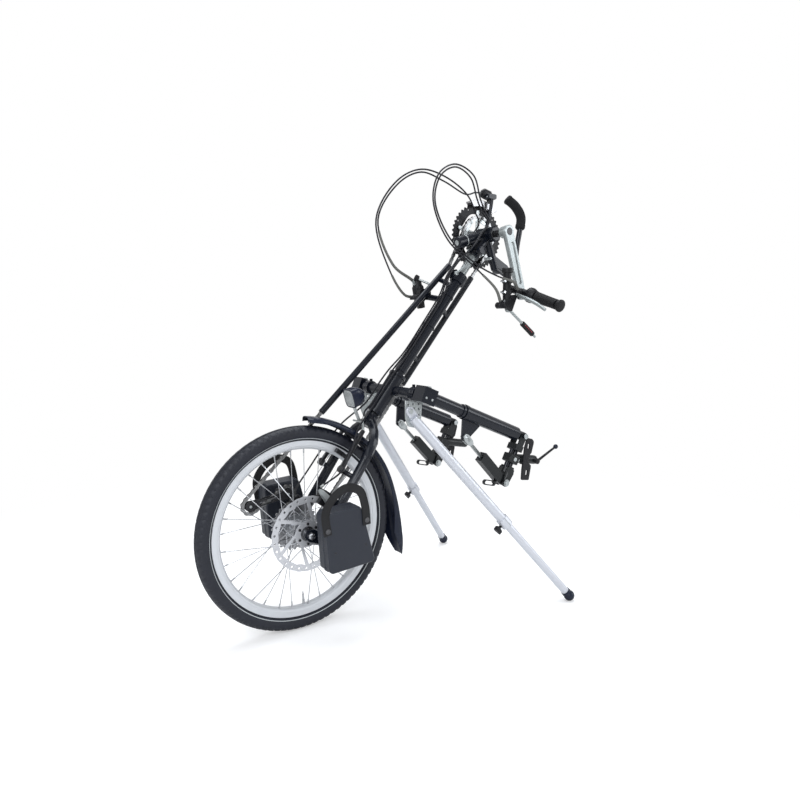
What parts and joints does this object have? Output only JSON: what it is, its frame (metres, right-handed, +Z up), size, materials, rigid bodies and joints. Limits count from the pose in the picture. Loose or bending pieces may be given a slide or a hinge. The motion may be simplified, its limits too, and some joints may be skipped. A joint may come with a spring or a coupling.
{
  "type": "handcycle",
  "caption": "Clip-on wheelchair handcycle: driven front wheel, leaning column with hand cranks, docking beams and two fold-out stand legs.",
  "frame": {"origin": "middle of the whole part's box, on the ground under the wheel and the stand feet", "axes": "+X to the rear, towards the rider; +Y to the rider's right; +Z up"},
  "size_m": [1.0726, 0.558, 1.1203],
  "materials": {
    "tyre": "matt",
    "rim": "polished",
    "hub": "satin",
    "steel": "brushed",
    "rotor": "brushed",
    "dark_steel": "dark",
    "black_paint": "semi gloss powder coat",
    "silver_leg": "satin",
    "bracket": "satin",
    "black_plastic": "matt",
    "gloss_black": "gloss",
    "grip_rubber": "ribbed",
    "foam": "foam",
    "chrome": "polished",
    "case": "textured",
    "strap": "matt",
    "chain": "oiled",
    "cable": "smooth",
    "lamp": "gloss",
    "dock_paint": "powder coat",
    "crank_black": "anodised"
  },
  "bodies": {
    "frame": {"main_frame": "black_paint"},
    "steering": {"fork": "black_paint", "axle": "steel", "steering_column": "black_paint", "chain_guard_tube": "black_plastic", "rear_derailleur": "dark_steel", "side_box_left": "case", "side_box_right": "case", "box_strap_left": "strap", "box_strap_right": "strap", "fender": "gloss_black", "headlight": "lamp", "disc_caliper": "crank_black", "column_shifter": "dark_steel", "brake_cables": "cable", "shifter_cables": "cable", "chain": "chain"},
    "wheel": {"tyre": "tyre", "rim": "rim", "hub_and_spokes": "hub", "disc_rotor": "rotor"},
    "cassette": {"cassette": "dark_steel"},
    "crank_unit": {"column_neck": "chrome", "crank_housing": "black_paint"},
    "crank": {"crank_left": "chrome", "crank_right": "crank_black", "chainset": "dark_steel"},
    "handle_left": {"handle_left": "black_paint", "grip_left": "grip_rubber"},
    "handle_right": {"handle_right": "black_paint", "grip_right": "foam"},
    "brake_lever": {"brake_lever": "chrome"},
    "parking_lever": {"parking_lever": "chrome"},
    "twist_shifter": {"twist_shifter": "black_plastic"},
    "column_lever": {"column_lever": "chrome"},
    "front_derailleur": {"front_derailleur": "steel"},
    "derailleur_cage": {"derailleur_cage": "dark_steel"},
    "brake_arm_left": {"brake_arm_left": "steel"},
    "brake_arm_right": {"brake_arm_right": "steel"},
    "caliper_arm": {"caliper_arm": "steel"},
    "stand_left": {"stand_bracket_left": "bracket", "leg_upper_left": "silver_leg"},
    "leg_lower_left": {"leg_lower_left": "silver_leg"},
    "leg_screw_left": {"leg_screw_left": "black_plastic"},
    "dock_tube_left": {"dock_tube_left": "dock_paint"},
    "dock_link_left": {"dock_link_left": "dock_paint"},
    "strut_body_left": {"strut_body_left": "dock_paint"},
    "strut_rod_left": {"strut_rod_left": "steel"},
    "frame_clamp_left": {"frame_clamp_left": "dock_paint"},
    "clamp_lever_left": {"clamp_lever_left": "dock_paint"},
    "stand_right": {"stand_bracket_right": "bracket", "leg_upper_right": "silver_leg"},
    "leg_lower_right": {"leg_lower_right": "silver_leg"},
    "leg_screw_right": {"leg_screw_right": "black_plastic"},
    "dock_tube_right": {"dock_tube_right": "dock_paint"},
    "dock_link_right": {"dock_link_right": "dock_paint"},
    "strut_body_right": {"strut_body_right": "dock_paint"},
    "strut_rod_right": {"strut_rod_right": "steel"},
    "frame_clamp_right": {"frame_clamp_right": "dock_paint"},
    "clamp_lever_right": {"clamp_lever_right": "dock_paint"}
  },
  "joints": [
    {"name": "steering_turn", "type": "hinge", "parent": "frame", "child": "steering", "pos_m": [-0.04829, 0, 0.5454], "axis": [0.6184, 0, 0.7859], "range_deg": [-30, 22]},
    {"name": "wheel_spin", "type": "hinge", "parent": "steering", "child": "wheel", "pos_m": [-0.29465, 0, 0.243], "axis": [0, 1, 0], "continuous": true},
    {"name": "crank_height", "type": "slide", "parent": "steering", "child": "crank_unit", "axis": [0.6184, 0, 0.7859], "range_m": [-0.02, 0.04], "deforming": ["chain", "brake_cables", "shifter_cables"]},
    {"name": "crank_spin", "type": "hinge", "parent": "crank_unit", "child": "crank", "pos_m": [0.27638, 0, 0.95798], "axis": [0, 1, 0], "continuous": true, "deforming": ["chain", "brake_cables"]},
    {"name": "cassette_spin", "type": "hinge", "parent": "steering", "child": "cassette", "pos_m": [-0.29465, 0, 0.243], "axis": [0, 1, 0], "continuous": true, "deforming": ["chain"]},
    {"name": "handle_left_spin", "type": "hinge", "parent": "crank", "child": "handle_left", "pos_m": [0.32891, -0.112, 0.7963], "axis": [0, 1, 0], "continuous": true, "deforming": ["brake_cables"]},
    {"name": "handle_right_spin", "type": "hinge", "parent": "crank", "child": "handle_right", "pos_m": [0.42785, 0.112, 0.8808], "axis": [0, 1, 0], "continuous": true},
    {"name": "brake_lever_pull", "type": "hinge", "parent": "handle_left", "child": "brake_lever", "pos_m": [0.27735, -0.124, 0.796], "axis": [0, -0.288, 0.9576], "range_deg": [0, 10], "stiffness_Nm_per_rad": 1.5, "springref_deg": -8.59, "deforming": ["brake_cables"]},
    {"name": "parking_lever_turn", "type": "hinge", "parent": "handle_left", "child": "parking_lever", "pos_m": [0.25735, -0.112, 0.758], "axis": [0, 1, 0], "range_deg": [0, 20]},
    {"name": "twist_shifter_turn", "type": "hinge", "parent": "handle_left", "child": "twist_shifter", "pos_m": [0.30611, -0.146, 0.79177], "axis": [0.0216, -0.9574, -0.2879], "range_deg": [-35, 35]},
    {"name": "column_lever_turn", "type": "hinge", "parent": "steering", "child": "column_lever", "pos_m": [0.16307, 0, 0.85118], "axis": [0, -1, 0], "range_deg": [0, 110]},
    {"name": "front_derailleur_shift", "type": "hinge", "parent": "crank_unit", "child": "front_derailleur", "pos_m": [0.30235, 0.02, 1.066], "axis": [1, 0, 0], "range_deg": [-2.5, 2.5], "deforming": ["shifter_cables"]},
    {"name": "derailleur_cage_swing", "type": "hinge", "parent": "steering", "child": "derailleur_cage", "pos_m": [-0.30665, 0.0317, 0.32], "axis": [0, 1, 0], "range_deg": [-15, 15], "stiffness_Nm_per_rad": 1, "deforming": ["chain"]},
    {"name": "brake_arm_left_swing", "type": "hinge", "parent": "steering", "child": "brake_arm_left", "pos_m": [-0.20753, -0.05, 0.38185], "axis": [0.7859, 0, -0.6184], "range_deg": [-0.7, 6], "stiffness_Nm_per_rad": 1, "deforming": ["brake_cables"]},
    {"name": "brake_arm_right_swing", "type": "hinge", "parent": "steering", "child": "brake_arm_right", "pos_m": [-0.20753, 0.05, 0.38185], "axis": [0.7859, 0, -0.6184], "range_deg": [-6, 0.7], "deforming": ["brake_cables"]},
    {"name": "caliper_arm_pull", "type": "hinge", "parent": "steering", "child": "caliper_arm", "pos_m": [-0.24822, -0.067, 0.3159], "axis": [0, 1, 0], "range_deg": [0, 20], "stiffness_Nm_per_rad": 0.8, "springref_deg": -11.46, "deforming": ["brake_cables"]},
    {"name": "stand_left_fold", "type": "hinge", "parent": "frame", "child": "stand_left", "pos_m": [-0.03265, -0.103, 0.552], "axis": [0, 1, 0], "range_deg": [0, 115]},
    {"name": "leg_left_length", "type": "slide", "parent": "stand_left", "child": "leg_lower_left", "axis": [0.6104, -0.2454, -0.7531], "range_m": [0, 0.05]},
    {"name": "leg_screw_left_turn", "type": "hinge", "parent": "stand_left", "child": "leg_screw_left", "pos_m": [0.17723, -0.19621, 0.2251], "axis": [-0.7768, 0, -0.6297], "range_deg": [-180, 180]},
    {"name": "dock_tube_left_length", "type": "slide", "parent": "frame", "child": "dock_tube_left", "axis": [0.9279, 0, -0.3729], "range_m": [0, 0.05]},
    {"name": "dock_link_left_swing", "type": "hinge", "parent": "dock_tube_left", "child": "dock_link_left", "pos_m": [0.27835, -0.143, 0.427], "axis": [0, 1, 0], "range_deg": [-6, 6]},
    {"name": "strut_body_left_turn", "type": "hinge", "parent": "dock_link_left", "child": "strut_body_left", "pos_m": [0.21635, -0.143, 0.311], "axis": [0, 1, 0], "range_deg": [-12, 12]},
    {"name": "strut_rod_left_slide", "type": "slide", "parent": "strut_body_left", "child": "strut_rod_left", "axis": [-0.6961, 0, 0.718], "range_m": [-0.016, 0.016]},
    {"name": "frame_clamp_left_slide", "type": "slide", "parent": "dock_link_left", "child": "frame_clamp_left", "axis": [-0.4714, 0, -0.8819], "range_m": [-0.005, 0.01]},
    {"name": "clamp_lever_left_turn", "type": "hinge", "parent": "frame_clamp_left", "child": "clamp_lever_left", "pos_m": [0.32735, -0.143, 0.355], "axis": [0, 1, 0], "range_deg": [0, 80]},
    {"name": "stand_right_fold", "type": "hinge", "parent": "frame", "child": "stand_right", "pos_m": [-0.03265, 0.103, 0.552], "axis": [0, 1, 0], "range_deg": [0, 115]},
    {"name": "leg_right_length", "type": "slide", "parent": "stand_right", "child": "leg_lower_right", "axis": [0.6104, 0.2454, -0.7531], "range_m": [0, 0.05]},
    {"name": "leg_screw_right_turn", "type": "hinge", "parent": "stand_right", "child": "leg_screw_right", "pos_m": [0.17723, 0.19621, 0.2251], "axis": [-0.7768, 0, -0.6297], "range_deg": [-180, 180]},
    {"name": "dock_tube_right_length", "type": "slide", "parent": "frame", "child": "dock_tube_right", "axis": [0.9279, 0, -0.3729], "range_m": [0, 0.05]},
    {"name": "dock_link_right_swing", "type": "hinge", "parent": "dock_tube_right", "child": "dock_link_right", "pos_m": [0.27835, 0.143, 0.427], "axis": [0, 1, 0], "range_deg": [-6, 6]},
    {"name": "strut_body_right_turn", "type": "hinge", "parent": "dock_link_right", "child": "strut_body_right", "pos_m": [0.21635, 0.143, 0.311], "axis": [0, 1, 0], "range_deg": [-12, 12]},
    {"name": "strut_rod_right_slide", "type": "slide", "parent": "strut_body_right", "child": "strut_rod_right", "axis": [-0.6961, 0, 0.718], "range_m": [-0.016, 0.016]},
    {"name": "frame_clamp_right_slide", "type": "slide", "parent": "dock_link_right", "child": "frame_clamp_right", "axis": [-0.4714, 0, -0.8819], "range_m": [-0.005, 0.01]},
    {"name": "clamp_lever_right_turn", "type": "hinge", "parent": "frame_clamp_right", "child": "clamp_lever_right", "pos_m": [0.32735, 0.143, 0.355], "axis": [0, 1, 0], "range_deg": [0, 80]}
  ],
  "couplings": [
    {"joint": "cassette_spin", "follows": "crank_spin", "ratio": 1.1818},
    {"joint": "brake_arm_right_swing", "follows": "brake_arm_left_swing", "ratio": -1},
    {"joint": "strut_body_left_turn", "follows": "dock_link_left_swing", "ratio": -0.78007},
    {"joint": "strut_rod_left_slide", "follows": "dock_link_left_swing", "m_per_rad": -0.12526},
    {"joint": "strut_body_right_turn", "follows": "dock_link_right_swing", "ratio": -0.78007},
    {"joint": "strut_rod_right_slide", "follows": "dock_link_right_swing", "m_per_rad": -0.12526}
  ]
}
